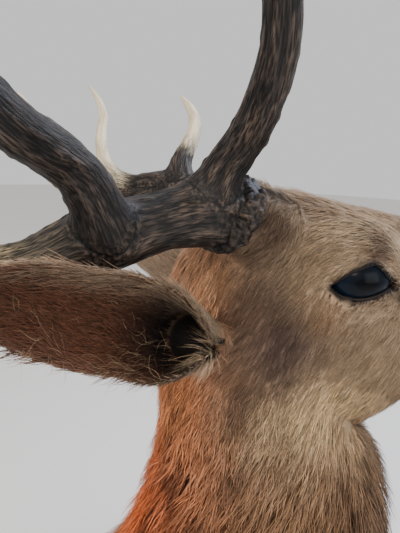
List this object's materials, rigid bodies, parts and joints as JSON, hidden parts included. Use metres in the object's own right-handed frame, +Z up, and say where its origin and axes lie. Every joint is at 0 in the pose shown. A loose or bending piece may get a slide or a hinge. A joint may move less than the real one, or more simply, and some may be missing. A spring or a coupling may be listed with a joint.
{
  "type": "red deer stag head mount",
  "caption": "Life-size red deer stag head and neck with full antlers, mounted on a plain shield-shaped wooden wall board.",
  "frame": {"origin": "middle of the board's flat back face, which lies against the wall", "axes": "+Y is the outward normal of the board's back, into the wall; the stag looks along -Y; +X is the stag's left; +Z is up"},
  "size_m": [0.5054, 0.744, 1.2769],
  "materials": {
    "coat": "short grey-tan deer hair, rufous and longer on the neck",
    "antler": "dark brown ridged antler bone, worn to ivory at the tips",
    "eye_glass": "polished dark glass",
    "board_wood": "satin varnished oak"
  },
  "bodies": {
    "root": {"eye_right": "eye_glass", "eye_left": "eye_glass", "antler_right_base": "antler", "antler_right_beam": "antler", "antler_right_top": "antler", "antler_right_brow": "antler", "antler_right_bez": "antler", "antler_right_trez": "antler", "antler_right_crown_front": "antler", "antler_right_crown_middle": "antler", "antler_right_crown_inner": "antler", "ear_right": "coat", "antler_left_base": "antler", "antler_left_beam": "antler", "antler_left_top": "antler", "antler_left_brow": "antler", "antler_left_bez": "antler", "antler_left_trez": "antler", "antler_left_crown_front": "antler", "antler_left_crown_middle": "antler", "antler_left_crown_inner": "antler", "ear_left": "coat", "head": "coat", "neck": "coat", "neck_base": "coat", "board": "board_wood"}
  },
  "joints": []
}
